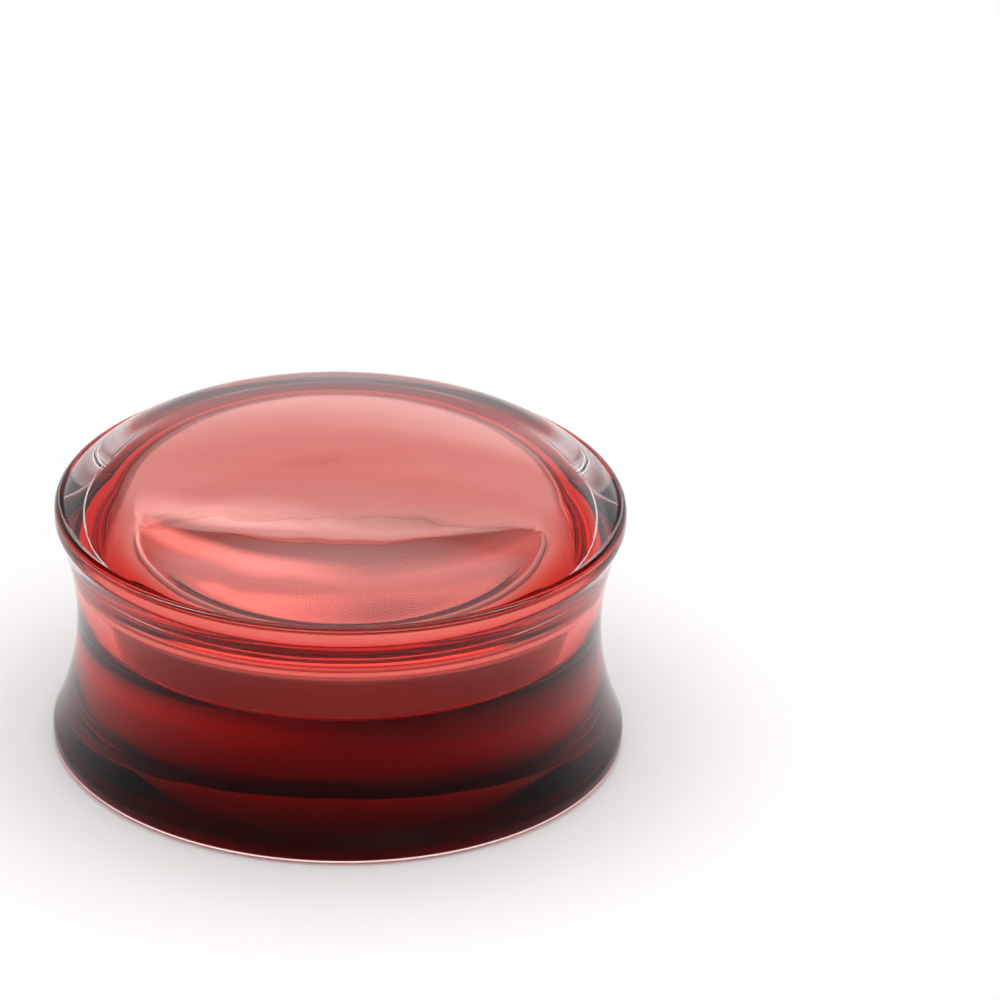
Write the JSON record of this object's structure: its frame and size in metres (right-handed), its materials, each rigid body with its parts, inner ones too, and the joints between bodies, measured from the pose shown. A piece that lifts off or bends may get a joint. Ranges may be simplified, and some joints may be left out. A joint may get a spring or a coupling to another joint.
{
  "type": "double-flared flesh plug",
  "caption": "Clear double-flared ear plug with a domed front and a flat back, half filled with red liquid under an air pocket.",
  "frame": {"origin": "centre of the flat back face, on the surface that the plug stands on", "axes": "+Z along the plug's axis, from the flat back face to the domed front; X and Y are free, since the plug is round"},
  "size_m": [0.0272, 0.0272, 0.0153],
  "materials": {
    "clear_acrylic": "polished, colourless and clear",
    "red_liquid": "clear blood-red liquid"
  },
  "bodies": {
    "root": {"shell": "clear_acrylic", "front_window": "clear_acrylic", "back_window": "clear_acrylic", "liquid": "red_liquid"}
  },
  "joints": []
}
